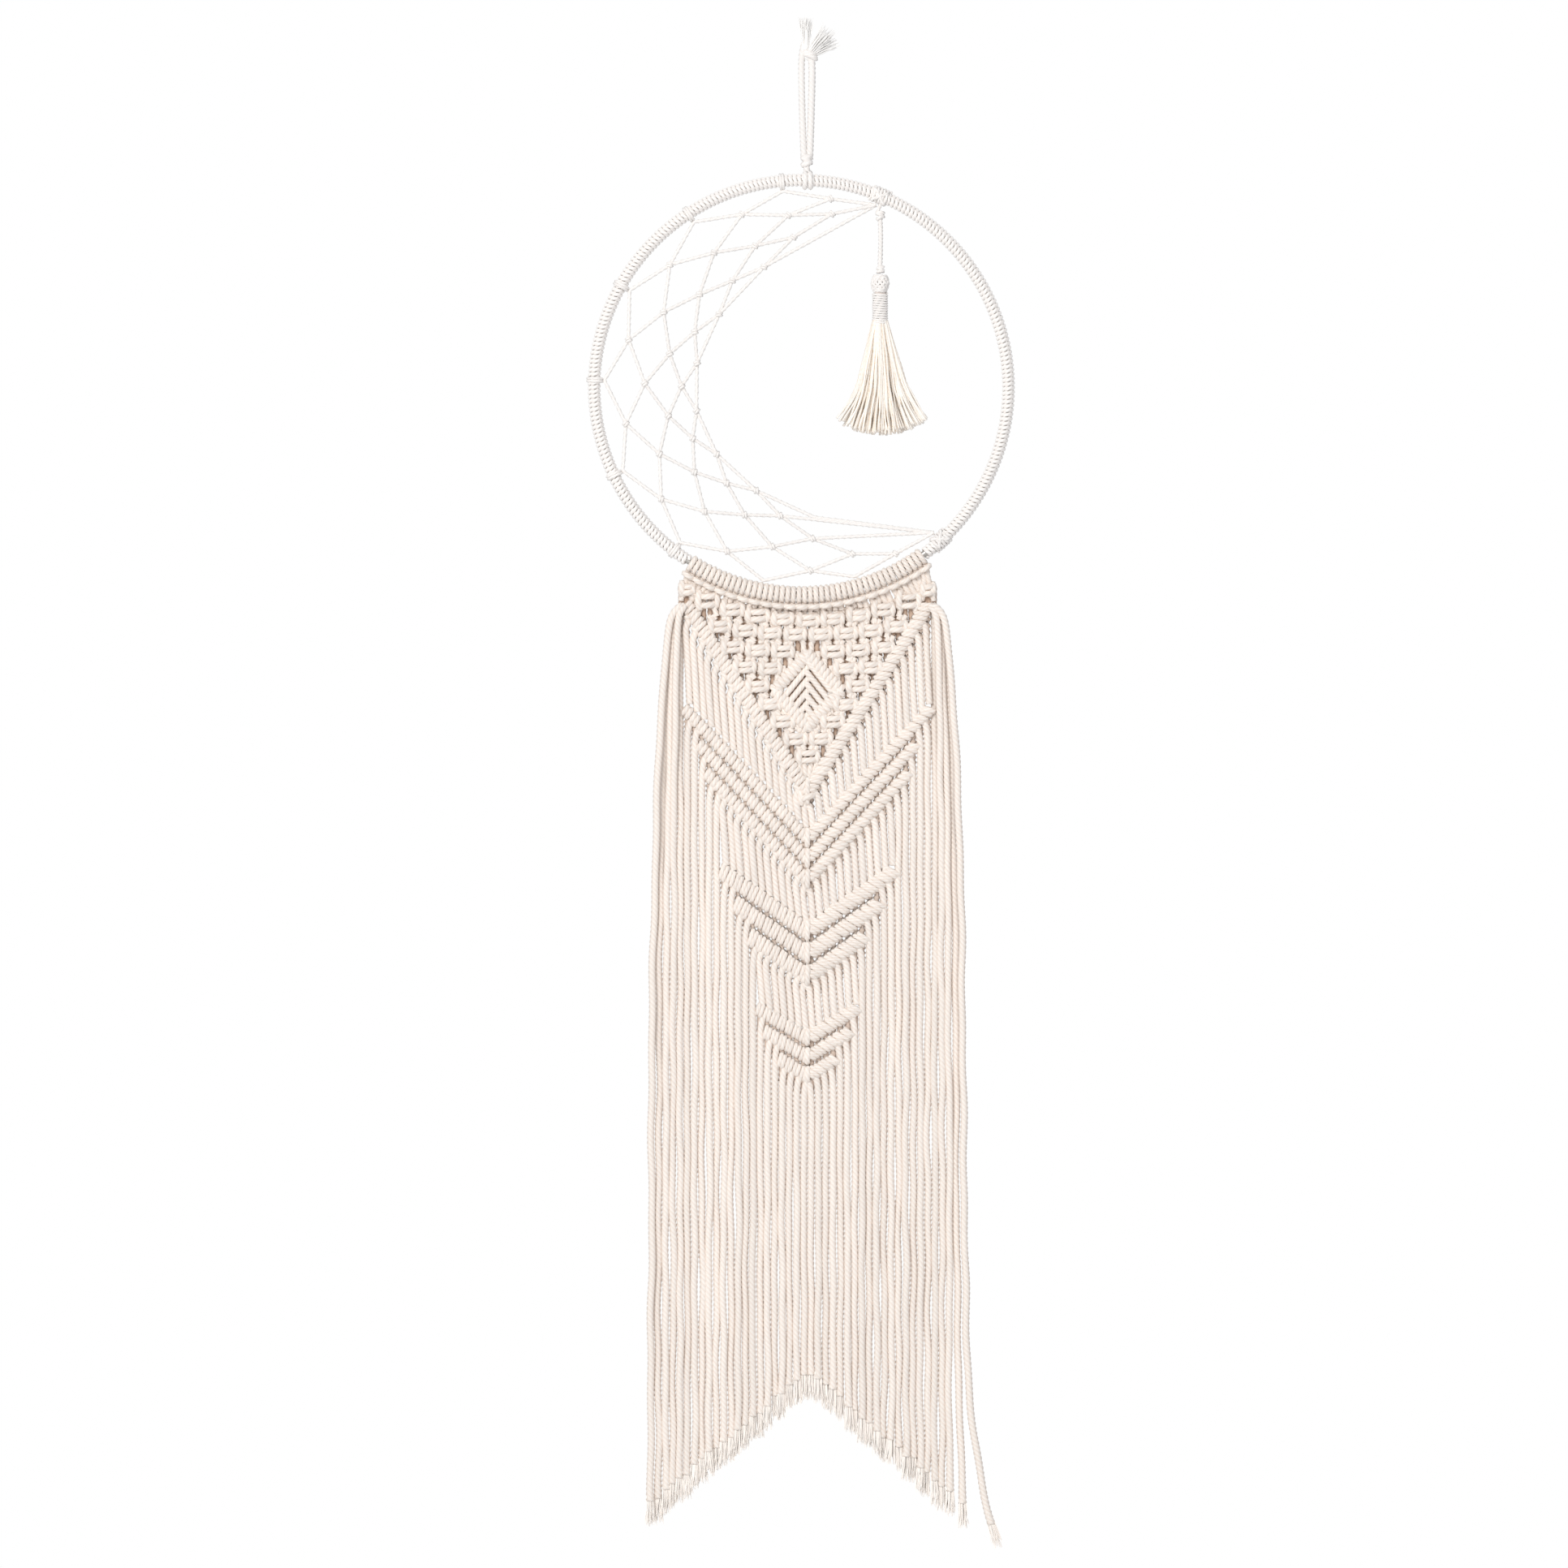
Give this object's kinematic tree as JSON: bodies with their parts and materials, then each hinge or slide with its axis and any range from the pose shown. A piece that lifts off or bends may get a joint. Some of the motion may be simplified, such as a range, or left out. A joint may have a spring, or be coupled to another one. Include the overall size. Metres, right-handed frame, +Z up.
{
  "type": "macrame wall hanging",
  "caption": "Cord-wrapped hoop with a netted crescent moon, a small tassel and a long knotted, fringed cord panel, hung from a tied cord.",
  "frame": {"origin": "the hanging point: the middle of the cord loop, just under the top knot, where a nail or hook goes", "axes": "+Z up, +X to the right as seen from the front, the front faces -Y; x = 0 is the line the piece hangs on"},
  "size_m": [0.2015, 0.012, 0.7179],
  "materials": {
    "white_cord": "matt twisted cotton",
    "cream_cord": "matt twisted cotton",
    "tassel_string": "matt fine cotton string",
    "ring_wire": "plain drawn wire"
  },
  "bodies": {
    "hanger": {"top_knot": "white_cord", "top_tails": "white_cord", "hanger_leg_left": "white_cord", "hanger_leg_right": "white_cord"},
    "hanger_knot": {"lower_knot": "white_cord"},
    "hitch": {"hoop_hitch": "white_cord"},
    "hoop": {"hoop_ring": "ring_wire", "hoop_wrap": "white_cord", "web_hitches": "white_cord", "web_anchor_top": "white_cord", "web_anchor_bottom": "white_cord", "web_row_1": "white_cord", "web_row_2": "white_cord", "web_row_3": "white_cord", "web_row_4": "white_cord", "web_row_5": "white_cord", "web_edge": "white_cord", "larks_heads": "cream_cord"},
    "tassel_hanger": {"tassel_top_knot": "white_cord", "tassel_cord": "white_cord"},
    "tassel": {"tassel_link_knot": "white_cord", "tassel_head": "white_cord", "tassel_collar": "white_cord", "tassel_skirt": "tassel_string"},
    "panel": {"net_row_1": "cream_cord", "net_row_2": "cream_cord", "net_row_3": "cream_cord", "net_row_4": "cream_cord", "net_row_5": "cream_cord", "net_row_6": "cream_cord", "net_tip": "cream_cord", "diamond_upper_left": "cream_cord", "diamond_upper_right": "cream_cord", "diamond_lower_left": "cream_cord", "diamond_lower_right": "cream_cord", "diamond_weave": "cream_cord", "v_ridge_left": "cream_cord", "v_ridge_right": "cream_cord", "v_tip_knot": "cream_cord", "v_strands_upper": "cream_cord"},
    "band_a": {"v_strands_lower": "cream_cord", "band_a_left": "cream_cord", "band_a_right": "cream_cord", "a_strands_upper": "cream_cord"},
    "band_b": {"a_strands_lower": "cream_cord", "band_b_left": "cream_cord", "band_b_right": "cream_cord", "b_strands_upper": "cream_cord"},
    "band_c": {"b_strands_lower": "cream_cord", "band_c_left": "cream_cord", "band_c_right": "cream_cord"},
    "fringe_outer_left": {"fringe_outer_left": "cream_cord"},
    "fringe_outer_right": {"fringe_outer_right": "cream_cord"},
    "fringe_a_left": {"fringe_a_left": "cream_cord"},
    "fringe_a_right": {"fringe_a_right": "cream_cord"},
    "fringe_b_left": {"fringe_b_left": "cream_cord"},
    "fringe_b_right": {"fringe_b_right": "cream_cord"},
    "fringe_c_left": {"fringe_c_left": "cream_cord"},
    "fringe_c_right": {"fringe_c_right": "cream_cord"}
  },
  "joints": [
    {"name": "hoop_twist", "type": "hinge", "parent": "hanger", "child": "hanger_knot", "pos_m": [0, 0, -0.04295], "axis": [0, 0, 1], "range_deg": [-60, 60]},
    {"name": "hoop_swing", "type": "hinge", "parent": "hanger_knot", "child": "hitch", "pos_m": [0, 0, -0.0484], "axis": [0, 1, 0], "range_deg": [-20, 20]},
    {"name": "hoop_tilt", "type": "hinge", "parent": "hitch", "child": "hoop", "pos_m": [0, 0, -0.05465], "axis": [1, 0, 0], "range_deg": [-25, 25]},
    {"name": "tassel_cord_swing", "type": "hinge", "parent": "hoop", "child": "tassel_hanger", "pos_m": [0.03396, 0, -0.06852], "axis": [0, 1, 0], "range_deg": [-14, 25]},
    {"name": "tassel_swing", "type": "hinge", "parent": "tassel_hanger", "child": "tassel", "pos_m": [0.03396, 0, -0.09652], "axis": [1, 0, 0], "range_deg": [-40, 40]},
    {"name": "panel_sway", "type": "hinge", "parent": "hoop", "child": "panel", "pos_m": [0, 0, -0.2486], "axis": [1, 0, 0], "range_deg": [-25, 25]},
    {"name": "band_a_sway", "type": "hinge", "parent": "panel", "child": "band_a", "pos_m": [0, 0, -0.35233], "axis": [1, 0, 0], "range_deg": [-15, 15]},
    {"name": "band_b_sway", "type": "hinge", "parent": "band_a", "child": "band_b", "pos_m": [0, 0, -0.39283], "axis": [1, 0, 0], "range_deg": [-20, 20]},
    {"name": "band_c_sway", "type": "hinge", "parent": "band_b", "child": "band_c", "pos_m": [0, 0, -0.44135], "axis": [1, 0, 0], "range_deg": [-20, 20]},
    {"name": "fringe_outer_left_sway", "type": "hinge", "parent": "panel", "child": "fringe_outer_left", "pos_m": [0, 0, -0.25913], "axis": [1, 0, 0], "range_deg": [-25, 25]},
    {"name": "fringe_outer_right_sway", "type": "hinge", "parent": "panel", "child": "fringe_outer_right", "pos_m": [0, 0, -0.25913], "axis": [1, 0, 0], "range_deg": [-25, 25]},
    {"name": "fringe_a_left_sway", "type": "hinge", "parent": "band_a", "child": "fringe_a_left", "pos_m": [0, 0, -0.34365], "axis": [1, 0, 0], "range_deg": [-25, 25]},
    {"name": "fringe_a_right_sway", "type": "hinge", "parent": "band_a", "child": "fringe_a_right", "pos_m": [0, 0, -0.34365], "axis": [1, 0, 0], "range_deg": [-25, 25]},
    {"name": "fringe_b_left_sway", "type": "hinge", "parent": "band_b", "child": "fringe_b_left", "pos_m": [0, 0, -0.41592], "axis": [1, 0, 0], "range_deg": [-25, 25]},
    {"name": "fringe_b_right_sway", "type": "hinge", "parent": "band_b", "child": "fringe_b_right", "pos_m": [0, 0, -0.41592], "axis": [1, 0, 0], "range_deg": [-25, 25]},
    {"name": "fringe_c_left_sway", "type": "hinge", "parent": "band_c", "child": "fringe_c_left", "pos_m": [0, 0, -0.47829], "axis": [1, 0, 0], "range_deg": [-25, 25]},
    {"name": "fringe_c_right_sway", "type": "hinge", "parent": "band_c", "child": "fringe_c_right", "pos_m": [0, 0, -0.47829], "axis": [1, 0, 0], "range_deg": [-25, 25]}
  ]
}
